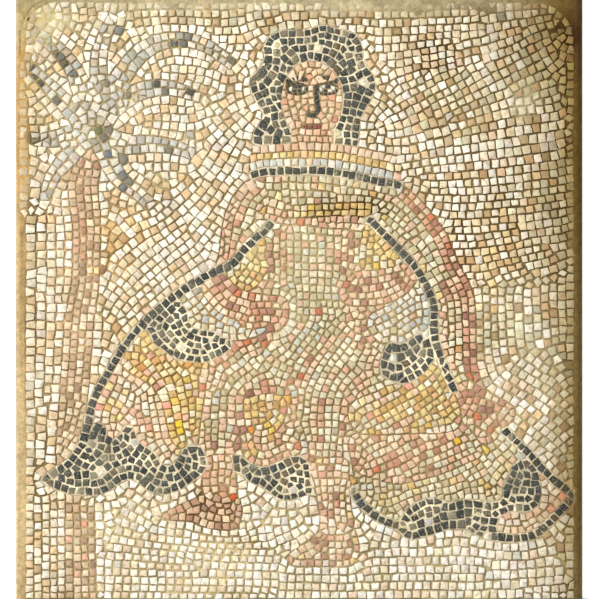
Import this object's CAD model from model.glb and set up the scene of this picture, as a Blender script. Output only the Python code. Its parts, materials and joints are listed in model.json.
# %% [markdown]
# # A mosaic panel in small stones
# The real panel is a slab of cast mortar with some 5,300 stones pressed into its front.
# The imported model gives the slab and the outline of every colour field. Here each field is laid again, stone by stone.

# %% Load the frame
import json
import math
from collections import deque

import bpy
import numpy as np
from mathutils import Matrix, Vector
from mathutils.bvhtree import BVHTree


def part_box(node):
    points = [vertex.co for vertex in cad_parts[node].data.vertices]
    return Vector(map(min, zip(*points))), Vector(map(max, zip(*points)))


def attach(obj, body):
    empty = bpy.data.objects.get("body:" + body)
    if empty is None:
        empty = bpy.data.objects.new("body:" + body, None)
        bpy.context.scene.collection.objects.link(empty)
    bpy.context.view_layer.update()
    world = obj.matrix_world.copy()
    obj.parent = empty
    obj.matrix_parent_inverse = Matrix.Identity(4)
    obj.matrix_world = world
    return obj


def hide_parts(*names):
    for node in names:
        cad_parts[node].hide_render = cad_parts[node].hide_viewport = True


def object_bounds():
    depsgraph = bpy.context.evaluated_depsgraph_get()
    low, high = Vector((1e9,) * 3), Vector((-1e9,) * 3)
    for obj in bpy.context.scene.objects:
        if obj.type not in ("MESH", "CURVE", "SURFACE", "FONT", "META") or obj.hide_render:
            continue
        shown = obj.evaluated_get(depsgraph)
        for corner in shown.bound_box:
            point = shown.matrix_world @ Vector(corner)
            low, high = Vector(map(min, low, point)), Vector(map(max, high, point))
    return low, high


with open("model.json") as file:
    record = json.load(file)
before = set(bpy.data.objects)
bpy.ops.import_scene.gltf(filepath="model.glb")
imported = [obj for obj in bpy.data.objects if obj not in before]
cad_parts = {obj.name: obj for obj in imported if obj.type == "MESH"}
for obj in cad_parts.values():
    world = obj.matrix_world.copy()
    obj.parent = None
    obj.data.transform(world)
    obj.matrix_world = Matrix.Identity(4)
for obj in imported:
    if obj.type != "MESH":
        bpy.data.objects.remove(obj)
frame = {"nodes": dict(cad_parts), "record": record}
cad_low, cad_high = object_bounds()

chance = np.random.default_rng(20)
nodes = frame["nodes"]
print("nodes to dress:", len(nodes), "panel box:", [round(side, 4) for side in cad_high - cad_low])

# %% [markdown]
# ## The camera
# The picture was taken square on, from far away. A long lens from six metres gives the same flat view,
# and its focal length follows from the width that the view shows. A short lens would show the slab's sides.

# %% Set up the camera
IMAGE_SIDE = 599
SHEET_LEFT, SHEET_RIGHT, SHEET_TOP, SHEET_FOOT = 16.0, 583.0, -8.0, 599.0
METRES_ACROSS = (cad_high.x - cad_low.x) / (SHEET_RIGHT - SHEET_LEFT)
METRES_UP = (cad_high.z - cad_low.z) / (SHEET_FOOT - SHEET_TOP)
CAMERA_DISTANCE = 6.0
SENSOR_WIDTH = 36.0


def on_panel(place):
    """A place on the cartoon sheet, in its fine squares, as x and z on the panel."""
    return np.array([cad_low.x + (place[0] - SHEET_LEFT) * METRES_ACROSS,
                     cad_high.z - (place[1] - SHEET_TOP) * METRES_UP])


bpy.ops.object.select_all(action="DESELECT")
view_x, view_z = on_panel((IMAGE_SIDE / 2, IMAGE_SIDE / 2))
bpy.ops.object.camera_add(location=(view_x, cad_low.y - CAMERA_DISTANCE, view_z), rotation=(math.pi / 2, 0, 0))
camera = bpy.context.object
camera.data.sensor_width = SENSOR_WIDTH
camera.data.lens = SENSOR_WIDTH * CAMERA_DISTANCE / (IMAGE_SIDE * METRES_ACROSS)
bpy.context.scene.camera = camera
print("lens:", round(camera.data.lens, 1), "mm")

# %% [markdown]
# ## The floor plan of the picture
# A mosaic is laid field by field, so the first need is a plan that says for each spot which field it belongs to.
# The front faces of the frame's nodes are drawn into a fine grid, like colouring in squared paper.
# Mortar joints between two fields and small leftover spots go to the nearest field.

# %% Draw the fields into a grid
CELL = 0.001
FINE = 2
BED_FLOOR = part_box("upper_ground")[1].y + 0.0003
FACING = 0.05
DEPTH_SLACK = 0.0001
COLUMNS = int(math.ceil((cad_high.x - cad_low.x) / CELL))
ROWS = int(math.ceil((cad_high.z - cad_low.z) / CELL))
MARGIN, EMPTY = 0, -1
field_names = ["mortar_bed"] + sorted(name for name in nodes if name != "mortar_bed")
field_number = {name: number for number, name in enumerate(field_names)}


def mesh_places(mesh):
    """The places of all points of a mesh."""
    places = np.zeros(len(mesh.vertices) * 3)
    mesh.vertices.foreach_get("co", places)
    return places.reshape(-1, 3)


def front_triangles(node):
    """The triangles of a node that face the viewer, but not the floor of the recess, as x and z."""
    mesh = node.data
    mesh.calc_loop_triangles()
    corners = np.zeros(len(mesh.loop_triangles) * 3, int)
    mesh.loop_triangles.foreach_get("vertices", corners)
    faces = mesh_places(mesh)[corners.reshape(-1, 3)]
    normals = np.cross(faces[:, 1] - faces[:, 0], faces[:, 2] - faces[:, 0])
    facing = normals[:, 1] < -FACING * np.linalg.norm(normals, axis=1)
    on_floor = (np.abs(faces[:, :, 1] - BED_FLOOR) < DEPTH_SLACK).all(axis=1)
    return faces[facing & ~on_floor][:, :, [0, 2]]


def draw_triangle(plan, triangle, value, cell):
    """Fills the cells whose middle lies in the triangle."""
    spots = (triangle - [cad_low.x, cad_low.z]) / cell - 0.5
    first = np.maximum(np.ceil(spots.min(axis=0)).astype(int), 0)
    last = np.minimum(np.floor(spots.max(axis=0)).astype(int), [plan.shape[1] - 1, plan.shape[0] - 1])
    if (last < first).any():
        return
    x, z = np.meshgrid(np.arange(first[0], last[0] + 1), np.arange(first[1], last[1] + 1))
    signs = []
    for start, end in zip(spots, np.roll(spots, -1, axis=0)):
        signs.append((end[0] - start[0]) * (z - start[1]) - (end[1] - start[1]) * (x - start[0]))
    inside = np.all(np.array(signs) >= -1e-9, axis=0) | np.all(np.array(signs) <= 1e-9, axis=0)
    plan[first[1]:last[1] + 1, first[0]:last[0] + 1][inside] = value


fine_plan = np.full((ROWS * FINE, COLUMNS * FINE), EMPTY)
for name, number in field_number.items():
    for triangle in front_triangles(nodes[name]):
        draw_triangle(fine_plan, triangle, number, CELL / FINE)
print("cells drawn:", int((fine_plan != EMPTY).sum()), "of", fine_plan.size)

# %% Give every leftover spot to its nearest field
def nearest_marked(marked):
    """Row and column of the marked cell nearest to each cell, by jump flooding."""
    rows, columns = np.indices(marked.shape).astype(np.float32)
    far = np.float32(1e5)
    near = np.stack([np.where(marked, rows, far), np.where(marked, columns, far)])
    best = np.hypot(near[0] - rows, near[1] - columns)
    doublings = int(math.log2(max(marked.shape)))
    for step in [2 ** power for power in range(doublings, -1, -1)] + [2, 1]:
        for down in (-step, 0, step):
            for across in (-step, 0, step):
                if down == 0 and across == 0:
                    continue
                here = (slice(max(0, -down), marked.shape[0] - max(0, down)),
                        slice(max(0, -across), marked.shape[1] - max(0, across)))
                there = (slice(max(0, down), marked.shape[0] - max(0, -down)),
                         slice(max(0, across), marked.shape[1] - max(0, -across)))
                offer = near[(slice(None),) + there]
                length = np.hypot(offer[0] - rows[here], offer[1] - columns[here])
                better = length < best[here]
                best[here] = np.where(better, length, best[here])
                near[(slice(None),) + here] = np.where(better, offer, near[(slice(None),) + here])
    return near.astype(int), best


plan = fine_plan[::FINE, ::FINE].copy()
is_stone = plan > MARGIN
from_row_col, _ = nearest_marked(is_stone)
plan = np.where(plan == EMPTY, plan[from_row_col[0], from_row_col[1]], plan)
filled = np.repeat(np.repeat(plan, FINE, axis=0), FINE, axis=1)
fine_plan = np.where(fine_plan == EMPTY, filled, fine_plan)
print("cells left empty:", int((fine_plan == EMPTY).sum()))

# %% [markdown]
# ## Which way the rows run
# A mosaicist first lays a row round each outline, and the next rows follow it. In open ground the rows turn
# towards the edge of the panel or sweep past the figure. So the direction of the rows at a spot is a mix: near an
# outline it follows that outline, and away from it it follows a few hand-drawn guide lines.
# A row has no front end, so directions are mixed as doubled angles, where two opposite headings are the same.

# %% Distance and direction to the nearest outline
PITCH = 0.011
edge_cells = np.zeros(plan.shape, bool)
edge_cells[:, 1:] |= plan[:, 1:] != plan[:, :-1]
edge_cells[1:, :] |= plan[1:, :] != plan[:-1, :]
edge_cells[:, 0] = edge_cells[:, -1] = True
near_edge, edge_distance = nearest_marked(edge_cells)
edge_distance = edge_distance * CELL
row_grid, column_grid = np.indices(plan.shape)
edge_angle = np.arctan2(near_edge[0] - row_grid, near_edge[1] - column_grid) + math.pi / 2
EDGE_REACH = 2.2 * PITCH
edge_pull = np.exp(-(edge_distance / EDGE_REACH) ** 2) * (edge_distance > 0)
heading = np.stack([np.cos(2 * edge_angle), np.sin(2 * edge_angle)]) * edge_pull

# %% Guide lines for the open ground and for the folds
GUIDE_REACH = 3.4 * PITCH
GUIDE_STRENGTH = 0.25
GUIDE_STEP = 0.008
COARSE = 4
GROUND_GUIDES = [
    [(210, 18), (300, 15), (400, 14), (500, 16)], [(230, 40), (260, 20)], [(400, 50), (450, 42), (500, 34)],
    [(400, 118), (440, 97), (480, 74), (520, 50), (560, 30)], [(410, 152), (450, 140), (500, 130), (565, 121)],
    [(415, 180), (460, 183), (520, 178), (572, 168)], [(440, 207), (500, 204), (572, 196)],
    [(448, 236), (500, 232), (572, 222)], [(460, 276), (500, 266), (540, 256), (574, 250)],
    [(482, 300), (482, 372)], [(510, 298), (512, 346)], [(545, 290), (548, 336)],
    [(505, 368), (540, 386), (575, 406)], [(496, 396), (530, 420), (570, 450)],
    [(118, 303), (150, 272), (190, 240), (222, 207)], [(112, 250), (140, 228), (170, 214)],
    [(205, 178), (222, 150), (236, 128)], [(196, 128), (226, 120)], [(40, 250), (40, 330), (38, 430)],
    [(30, 510), (30, 590)], [(60, 500), (60, 590)], [(100, 560), (180, 562), (260, 566)],
    [(100, 585), (200, 586), (300, 588)], [(380, 560), (440, 558), (500, 562)], [(360, 585), (450, 586), (560, 580)],
    [(130, 522), (160, 540), (240, 545)], [(160, 26), (182, 24), (205, 30)], [(136, 80), (170, 68), (205, 74)],
]
FOLD_GUIDES = [
    [(300, 228), (299, 292)], [(325, 230), (326, 296)], [(212, 378), (240, 357), (280, 342)],
    [(308, 392), (324, 360), (346, 336)], [(224, 395), (222, 448)], [(325, 405), (326, 456)],
    [(262, 350), (268, 382)], [(148, 345), (176, 388), (186, 436)], [(120, 380), (100, 428)],
    [(358, 432), (400, 406), (442, 376)], [(366, 474), (416, 442), (462, 416)], [(380, 504), (430, 486), (476, 470)],
    [(494, 470), (516, 446)], [(250, 405), (280, 402)], [(300, 178), (380, 190)],
    [(222, 466), (221, 494)], [(334, 470), (335, 526)],
]


def guide_pull(guides):
    """The pull of guide lines on every cell, as a doubled-angle vector field, worked out on a coarser grid."""
    rows, columns = np.indices((plan.shape[0] // COARSE + 1, plan.shape[1] // COARSE + 1)) * COARSE * CELL
    pull = np.zeros((2,) + rows.shape)
    for guide in guides:
        for start, end in zip(guide, guide[1:]):
            start, end = on_panel(start), on_panel(end)
            angle = math.atan2(end[1] - start[1], end[0] - start[0])
            along = np.array([math.cos(2 * angle), math.sin(2 * angle)])
            count = max(2, int(np.linalg.norm(end - start) / GUIDE_STEP))
            for share in (np.arange(count) + 0.5) / count:
                x, z = start + (end - start) * share - [cad_low.x, cad_low.z]
                weight = np.exp(-((rows - z) ** 2 + (columns - x) ** 2) / GUIDE_REACH ** 2) * GUIDE_STRENGTH
                pull += along[:, None, None] * weight
    pull = np.repeat(np.repeat(pull, COARSE, axis=1), COARSE, axis=2)
    return pull[:, :plan.shape[0], :plan.shape[1]]


print(len(GROUND_GUIDES), "guides in the ground,", len(FOLD_GUIDES), "in the folds")

# %% Mix the outlines and the guides into one direction
HEADING_BLUR = 3


def blurred(values, reach):
    """A box blur, twice each way."""
    for axis in (1, 2, 1, 2):
        pad = [(0, 0)] * 3
        pad[axis] = (reach + 1, reach)
        total = np.cumsum(np.pad(values, pad, mode="edge"), axis=axis)
        length = values.shape[axis]
        upper = np.take(total, np.arange(2 * reach + 1, 2 * reach + 1 + length), axis=axis)
        lower = np.take(total, np.arange(length), axis=axis)
        values = (upper - lower) / (2 * reach + 1)
    return values


ground_numbers = [field_number[name] for name in ("upper_ground", "side_ground", "lower_ground")]
is_ground = np.isin(plan, ground_numbers)
heading += np.where(is_ground, guide_pull(GROUND_GUIDES), guide_pull(FOLD_GUIDES))
heading = blurred(heading, HEADING_BLUR)
row_angle = np.arctan2(heading[1], heading[0]) / 2
print("row directions set for", row_angle.size, "cells")

# %% [markdown]
# ## Laying the stones
# The stones go in as a mosaicist lays them: a start beside an outline, stone after stone along the row until the
# row meets something, then new rows beside the finished ones. Blender has no tool for this, so it is done in code.

# %% Size of the stones in each field
FEATURE_PITCH = 0.006
LINE_PITCH = 0.005
DARK_PITCH = 0.0101
FIGURE_PITCH = 0.0094
OTHER_PITCHES = {
    "face": 0.0086, "hair": 0.0099, "palm_fronds": 0.0103, "palm_trunk": 0.0102, "palm_trunk_foot": 0.0102,
    "upper_ground": PITCH, "side_ground": PITCH, "lower_ground": PITCH, "mortar_bed": PITCH,
}
for name in ("left_eye", "right_eye"):
    OTHER_PITCHES[name] = FEATURE_PITCH
for name in ("left_eyebrow", "right_eyebrow", "nose_line", "mouth"):
    OTHER_PITCHES[name] = LINE_PITCH
for name in ("hem_left", "hem_centre", "hem_right", "hem_corner", "fold_dark_left", "fold_dark_right",
             "cloak_edge_left", "cloak_edge_right", "collar_dark"):
    OTHER_PITCHES[name] = DARK_PITCH
field_pitch = {number: OTHER_PITCHES.get(name, FIGURE_PITCH) for name, number in field_number.items()}
print("stones repeat at", min(field_pitch.values()) * 1000, "to", max(field_pitch.values()) * 1000, "mm")

# %% A line of small stones round each eye
LID_WIDTH = 0.0038
eyes = np.isin(plan, [field_number["left_eye"], field_number["right_eye"]])
_, eye_distance = nearest_marked(eyes)
LIDS = len(field_names)
lids = (plan == field_number["face"]) & (eye_distance * CELL < LID_WIDTH)
plan[lids] = LIDS
fine_lids = np.repeat(np.repeat(lids, FINE, axis=0), FINE, axis=1)
fine_plan[fine_lids & (fine_plan == field_number["face"])] = LIDS
field_pitch[LIDS] = FEATURE_PITCH
print("cells for the lids:", int(lids.sum()))

# %% Rules for laying a stone
ROOM_ALONG, ROOM_BESIDE = 0.74, 0.62
stones = {"x": [], "z": [], "field": []}
buckets = {}


def cell_of(x, z):
    """Row and column of the cell at this spot, and whether it lies on the panel."""
    row, column = int(z / CELL), int(x / CELL)
    return row, column, 0 <= row < ROWS and 0 <= column < COLUMNS


def bucket_of(x, z):
    """The big square that a spot lies in. Only stones in neighbouring squares can touch."""
    return int(x / PITCH), int(z / PITCH)


def crowded(x, z, angle, field, pitch):
    """Whether a stone here would sit on one that is already laid."""
    along_x, along_z = math.cos(angle), math.sin(angle)
    column, row = bucket_of(x, z)
    for near in ((column + across, row + up) for across in (-1, 0, 1) for up in (-1, 0, 1)):
        for number in buckets.get(near, ()):
            if stones["field"][number] != field:
                continue
            off_x, off_z = stones["x"][number] - x, stones["z"][number] - z
            along = abs(off_x * along_x + off_z * along_z)
            beside = abs(-off_x * along_z + off_z * along_x)
            if along < ROOM_ALONG * pitch and beside < ROOM_BESIDE * pitch:
                return True
    return False


def lay(x, z, field):
    """Notes one more stone."""
    stones["x"].append(x)
    stones["z"].append(z)
    stones["field"].append(field)
    buckets.setdefault(bucket_of(x, z), []).append(len(stones["x"]) - 1)


print("a stone needs", ROOM_ALONG, "of its pitch along the row and", ROOM_BESIDE, "beside it")

# %% Lay one row
ROOM_AT_START, ROOM_AT_END = 0.3, 0.26
LENGTHS = (0.88, 1.16)
STEPS_PER_STONE = 3


def lay_row(x, z, field, waiting):
    """Lays a row through this spot, both ways, and notes its stones as places to start new rows beside."""
    pitch = field_pitch[field]
    row, column, inside = cell_of(x, z)
    if not inside or plan[row, column] != field or edge_distance[row, column] < ROOM_AT_START * pitch:
        return
    angle = row_angle[row, column]
    if crowded(x, z, angle, field, pitch):
        return
    lay(x, z, field)
    waiting.append((x, z, angle, field))
    for sense in (0.0, math.pi):
        spot_x, spot_z, facing = x, z, angle + sense
        while True:
            length = pitch * chance.uniform(*LENGTHS)
            for _ in range(STEPS_PER_STONE):
                row, column, inside = cell_of(spot_x, spot_z)
                if not inside:
                    break
                turn = row_angle[row, column] - facing
                facing += (turn + math.pi / 2) % math.pi - math.pi / 2
                spot_x += math.cos(facing) * length / STEPS_PER_STONE
                spot_z += math.sin(facing) * length / STEPS_PER_STONE
            row, column, inside = cell_of(spot_x, spot_z)
            if not inside or plan[row, column] != field or edge_distance[row, column] < ROOM_AT_END * pitch:
                break
            if crowded(spot_x, spot_z, facing, field, pitch):
                break
            lay(spot_x, spot_z, field)
            waiting.append((spot_x, spot_z, facing, field))


print("a row starts", ROOM_AT_START, "of a pitch from an outline or more")

# %% Lay row after row
OUTLINE_BAND = 1.2 * CELL
EVERY_THIRD = 3
ROW_REACHES = (0.96, 1.06)
waiting = deque()
for field, pitch in field_pitch.items():
    if field == MARGIN:
        continue
    rows, columns = np.nonzero((plan == field) & (np.abs(edge_distance - pitch / 2) < OUTLINE_BAND))
    for pick in chance.permutation(len(rows))[::EVERY_THIRD]:
        lay_row((columns[pick] + 0.5) * CELL, (rows[pick] + 0.5) * CELL, field, waiting)
print("stones beside outlines:", len(stones["x"]))
while waiting:
    x, z, angle, field = waiting.popleft()
    reach = field_pitch[field] * chance.uniform(*ROW_REACHES)
    for side in (1, -1):
        lay_row(x - math.sin(angle) * side * reach, z + math.cos(angle) * side * reach, field, waiting)
print("stones laid in rows:", len(stones["x"]))

# %% [markdown]
# ## Fitting the stones to each other
# Laid stones don't fit yet: some gaps are too wide and some corners too tight. Each stone is therefore moved to the
# middle of the ground that is nearest to it, a few times over. Nearness is measured in squares turned along the row
# and not in circles, so that the stones come out four-sided.

# %% Find the stone that owns each spot
def nearest_stone(plan_grid, cell):
    """For every cell, the stone whose turned square reaches it first, and how far that is in half pitches."""
    count = len(stones["x"])
    x, z = np.array(stones["x"], np.float32), np.array(stones["z"], np.float32)
    field = np.array(stones["field"])
    rows = np.clip((z / CELL).astype(int), 0, ROWS - 1)
    columns = np.clip((x / CELL).astype(int), 0, COLUMNS - 1)
    angle = row_angle[rows, columns].astype(np.float32)
    half = np.array([field_pitch[number] for number in field], np.float32) / 2
    along_x, along_z = np.cos(angle) / half, np.sin(angle) / half
    bucket_x, bucket_z = (x / PITCH).astype(int) + 1, (z / PITCH).astype(int) + 1
    shape = (int(plan_grid.shape[0] * cell / PITCH) + 4, int(plan_grid.shape[1] * cell / PITCH) + 4)
    order = np.lexsort((np.arange(count), bucket_x, bucket_z))
    keys = bucket_z[order] * shape[1] + bucket_x[order]
    first = np.searchsorted(keys, keys)
    slot = np.arange(count) - first
    table = np.full((slot.max() + 1,) + shape, count)
    table[slot, bucket_z[order], bucket_x[order]] = order
    x, z = np.append(x, 9e3).astype(np.float32), np.append(z, 9e3).astype(np.float32)
    along_x, along_z = np.append(along_x, 1).astype(np.float32), np.append(along_z, 1).astype(np.float32)
    field = np.append(field, -9)
    cell_z, cell_x = (np.indices(plan_grid.shape) + 0.5).astype(np.float32) * np.float32(cell)
    home_z, home_x = (cell_z / PITCH).astype(int) + 1, (cell_x / PITCH).astype(int) + 1
    best = np.full(plan_grid.shape, np.float32(1e6))
    owner = np.full(plan_grid.shape, count)
    for up in (-1, 0, 1):
        for across in (-1, 0, 1):
            for layer in table:
                offer = layer[home_z + up, home_x + across]
                if (offer == count).all():
                    continue
                off_x, off_z = cell_x - x[offer], cell_z - z[offer]
                reach = np.maximum(np.abs(off_x * along_x[offer] + off_z * along_z[offer]),
                                   np.abs(off_z * along_x[offer] - off_x * along_z[offer]))
                reach[field[offer] != plan_grid] = 1e6
                better = reach < best
                best[better] = reach[better]
                owner[better] = offer[better]
    return owner, best, angle


print("stones to fit:", len(stones["x"]))

# %% Move, add and take away stones
RELAX_ROUNDS = 5
CROWD_SHARE = 0.38
GAP_REACH = 0.8
SHUFFLE = 0.2


def keep_stones(kept):
    """Takes away the stones that aren't marked as kept."""
    for key in stones:
        stones[key] = [value for value, stays in zip(stones[key], kept) if stays]


for turn in range(RELAX_ROUNDS):
    owner, reach, _ = nearest_stone(plan, CELL)
    bare = (reach > 2 * GAP_REACH) & (plan != MARGIN)
    rows, columns = np.nonzero(bare)
    added = []
    for pick in np.argsort(-np.minimum(reach[rows, columns], 9) - chance.uniform(0, SHUFFLE, len(rows))):
        x, z, field = (columns[pick] + 0.5) * CELL, (rows[pick] + 0.5) * CELL, plan[rows[pick], columns[pick]]
        apart = GAP_REACH * field_pitch[field]
        if all(max(abs(x - other[0]), abs(z - other[1])) > apart for other in added):
            added.append((x, z, field))
    taken = owner < len(stones["x"])
    area = np.bincount(owner[taken], minlength=len(stones["x"]))
    cell_rows, cell_columns = np.nonzero(taken)
    holders = owner[taken]
    middle_x = np.bincount(holders, (cell_columns + 0.5) * CELL, len(stones["x"])) / np.maximum(area, 1)
    middle_z = np.bincount(holders, (cell_rows + 0.5) * CELL, len(stones["x"])) / np.maximum(area, 1)
    fair = np.array([field_pitch[number] for number in stones["field"]]) ** 2 / CELL ** 2
    stones["x"], stones["z"] = list(middle_x), list(middle_z)
    keep_stones(area > CROWD_SHARE * fair)
    if turn < RELAX_ROUNDS - 1:
        for x, z, field in added:
            stones["x"].append(x)
            stones["z"].append(z)
            stones["field"].append(field)
    print("round", turn + 1, "stones", len(stones["x"]), "added", len(added))

# %% [markdown]
# ## Four corners for every stone
# The ground that a stone owns is measured on the finer grid. Its four corners are the places that reach furthest
# in the four slanting directions of its row. Half the mortar joint is then taken off all round.

# %% Find the corners
CORNER_BAND = 0.0008
owner, _, stone_angle = nearest_stone(fine_plan, CELL / FINE)
count = len(stones["x"])
fine_rows, fine_columns = np.nonzero(owner < count)
holders = owner[fine_rows, fine_columns]
order = np.argsort(holders, kind="stable")
holders, fine_rows, fine_columns = holders[order], fine_rows[order], fine_columns[order]
spot_x = (fine_columns + 0.5) * CELL / FINE
spot_z = (fine_rows + 0.5) * CELL / FINE
present, starts = np.unique(holders, return_index=True)
owned = np.bincount(holders, minlength=count)
middle = np.stack([np.bincount(holders, spot_x, count), np.bincount(holders, spot_z, count)], axis=1)
middle /= np.maximum(owned, 1)[:, None]
corners = np.zeros((count, 4, 2))
for number, (right, up) in enumerate(((-1, -1), (1, -1), (1, 1), (-1, 1))):
    lean = np.arctan2(up, right)
    towards_x, towards_z = np.cos(stone_angle + lean)[holders], np.sin(stone_angle + lean)[holders]
    push = spot_x * towards_x + spot_z * towards_z
    furthest = np.full(count, -1e9)
    furthest[present] = np.maximum.reduceat(push, starts)
    near = push > furthest[holders] - CORNER_BAND
    share = np.maximum(np.bincount(holders[near], minlength=count), 1)
    corners[:, number, 0] = np.bincount(holders[near], spot_x[near], count) / share
    corners[:, number, 1] = np.bincount(holders[near], spot_z[near], count) / share
whole = owned > 0
print("corners found for", int(whole.sum()), "stones; mean ground of a stone",
      round(float(owned.mean()) * (CELL / FINE * 1000) ** 2, 1), "mm2")

# %% [markdown]
# ## One stone
# A stone is a small cube, split off a slab with a hammer: four worn upright edges, a chipped rim and a slightly
# crowned face. It is modelled once from a cube with bevels. Every laid stone is a copy of it, stretched to its own
# corners, with each corner of its outline pushed a little in or out so that no two stones look alike.

# %% Model the pattern stone
UPRIGHT_BEVEL = 0.22
RIM_WIDTH = 0.12


def select_by(mesh_object, test, kind):
    """Selects the edges or faces that pass the test, and stays in edit mode."""
    bpy.ops.object.mode_set(mode="EDIT")
    bpy.ops.mesh.select_mode(type=kind)
    bpy.ops.mesh.select_all(action="DESELECT")
    bpy.ops.object.mode_set(mode="OBJECT")
    mesh = mesh_object.data
    if kind == "EDGE":
        for edge in mesh.edges:
            edge.select = test(*[mesh.vertices[number].co for number in edge.vertices])
    else:
        for face in mesh.polygons:
            face.select = test(face.center, face.normal)
    bpy.ops.object.mode_set(mode="EDIT")


bpy.ops.object.select_all(action="DESELECT")
bpy.ops.mesh.primitive_cube_add(size=2)
pattern = bpy.context.object
pattern.name = "pattern_stone"
select_by(pattern, lambda a, b: abs(a.z - b.z) > 1, "EDGE")
bpy.ops.mesh.bevel(offset=UPRIGHT_BEVEL, segments=2, profile=0.5)
select_by(pattern, lambda middle, normal: normal.z > 0.9, "FACE")
bpy.ops.mesh.inset(thickness=RIM_WIDTH, depth=0)
bpy.ops.transform.translate(value=(0, 0, 1))
bpy.ops.mesh.poke()
bpy.ops.object.mode_set(mode="OBJECT")
pattern_places = mesh_places(pattern.data)
pattern_faces = [list(face.vertices) for face in pattern.data.polygons]
triangles_each = sum(len(face) - 2 for face in pattern_faces)
print("pattern stone:", len(pattern_places), "points,", len(pattern_faces), "faces,", triangles_each, "triangles")
bpy.data.objects.remove(pattern)

# %% [markdown]
# ## The palette
# Every field is laid from a heap of its own: a few kinds of local stone, mixed as they came. The colours are plain
# daylight colours, and the number before each is its share of the heap. A table of colours is easier to tune than
# a painted image, and it can't carry one over.

# %% Heaps of stone
HEAPS = {
    "ground": [(36, (242, 235, 216)), (26, (236, 224, 196)), (16, (227, 210, 176)), (7, (222, 193, 150)),
               (5, (217, 193, 160)), (6, (222, 214, 194)), (4, (200, 174, 134))],
    "shaded_ground": [(28, (224, 215, 184)), (26, (213, 201, 165)), (18, (203, 186, 146)), (8, (192, 164, 124)),
                      (4, (186, 162, 128)), (12, (193, 186, 156)), (4, (172, 146, 104))],
    "ochre_ground": [(26, (234, 212, 168)), (22, (224, 196, 144)), (26, (238, 224, 196)), (10, (210, 177, 126)),
                     (4, (200, 162, 116))],
    "foot_ground": [(44, (249, 244, 228)), (28, (244, 234, 208)), (14, (236, 223, 190)), (8, (236, 214, 184)),
                    (6, (229, 224, 206))],
    "palm": [(28, (214, 208, 192)), (22, (199, 195, 182)), (18, (180, 178, 167)), (14, (220, 211, 188)),
             (9, (184, 172, 148)), (5, (162, 160, 146)), (2, (116, 114, 100))],
    "trunk": [(30, (212, 187, 153)), (22, (201, 173, 139)), (22, (223, 203, 169)), (12, (189, 159, 128)),
              (10, (229, 213, 181)), (4, (168, 140, 110))],
    "dark": [(30, (67, 68, 58)), (24, (86, 84, 69)), (16, (51, 52, 46)), (10, (110, 104, 84)),
             (6, (104, 90, 64)), (4, (140, 132, 106)), (6, (62, 67, 68))],
    "dark_line": [(48, (60, 60, 51)), (30, (76, 75, 62)), (12, (49, 50, 47)), (10, (96, 92, 76))],
    "hair": [(36, (60, 62, 54)), (24, (80, 78, 66)), (12, (49, 50, 44)), (12, (103, 93, 72)), (8, (123, 113, 88)),
             (8, (92, 76, 52))],
    "skin": [(34, (228, 196, 160)), (24, (222, 182, 146)), (18, (234, 210, 178)), (12, (218, 162, 130)),
             (9, (206, 172, 138)), (2, (214, 144, 116))],
    "neckline": [(40, (222, 196, 164)), (30, (214, 184, 152)), (20, (228, 212, 186)), (10, (206, 162, 134))],
    "pink": [(26, (228, 191, 159)), (18, (212, 167, 137)), (26, (232, 206, 174)), (9, (189, 143, 117)),
             (16, (236, 217, 187)), (2, (207, 132, 99)), (3, (166, 123, 106))],
    "rose": [(26, (212, 162, 133)), (18, (195, 141, 115)), (22, (224, 189, 157)), (11, (172, 123, 102)),
             (14, (231, 206, 174)), (4, (203, 118, 84)), (5, (150, 104, 88))],
    "pale_pink": [(30, (234, 214, 186)), (26, (228, 198, 166)), (18, (238, 226, 204)), (12, (222, 178, 150)),
                  (6, (224, 160, 134)), (8, (232, 208, 148))],
    "foot": [(34, (206, 168, 138)), (24, (190, 146, 118)), (22, (219, 187, 154)), (12, (172, 129, 106)),
             (8, (230, 205, 168))],
    "yellow": [(28, (226, 200, 138)), (20, (214, 182, 114)), (20, (232, 214, 161)), (10, (222, 176, 122)),
               (6, (202, 162, 98)), (2, (230, 196, 92)), (1.5, (220, 156, 86)), (12, (231, 219, 187))],
    "grey": [(30, (212, 210, 194)), (22, (198, 198, 186)), (20, (220, 216, 199)), (10, (180, 182, 174)),
             (14, (225, 213, 189)), (4, (168, 168, 154))],
    "beige": [(28, (219, 209, 175)), (22, (207, 195, 157)), (20, (229, 221, 191)), (10, (195, 183, 145)),
              (8, (225, 199, 163)), (6, (217, 183, 153)), (6, (203, 201, 181))],
    "white": [(60, (244, 240, 228)), (40, (236, 230, 214))],
    "collar_yellow": [(34, (227, 201, 143)), (26, (219, 187, 123)), (20, (233, 215, 167)), (12, (225, 185, 141)),
                      (8, (235, 223, 185))],
    "ink": [(70, (52, 54, 50)), (30, (68, 68, 60))],
    "lips": [(60, (150, 84, 70)), (40, (120, 70, 60))],
}
FIELD_HEAPS = {
    "upper_ground": "ground", "side_ground": "ground", "lower_ground": "foot_ground", "palm_fronds": "palm",
    "palm_trunk": "trunk", "palm_trunk_foot": "trunk", "hair": "hair", "face": "skin", "left_leg": "pink",
    "right_leg": "pale_pink", "left_foot": "foot", "right_foot": "foot", "neckline": "neckline", "left_eye": "white",
    "right_eye": "white", "cloak_edge_left": "dark_line", "cloak_edge_right": "dark_line", "collar_dark": "dark_line",
    "hem_corner": "dark_line", "left_eyebrow": "ink", "right_eyebrow": "ink", "nose_line": "ink", "mouth": "lips",
    "left_sleeve_edge": "rose", "right_sleeve_edge": "rose", "skirt_pink_left": "pale_pink",
    "hem_corner_pink": "pale_pink", "collar_yellow": "collar_yellow",
}
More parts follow.
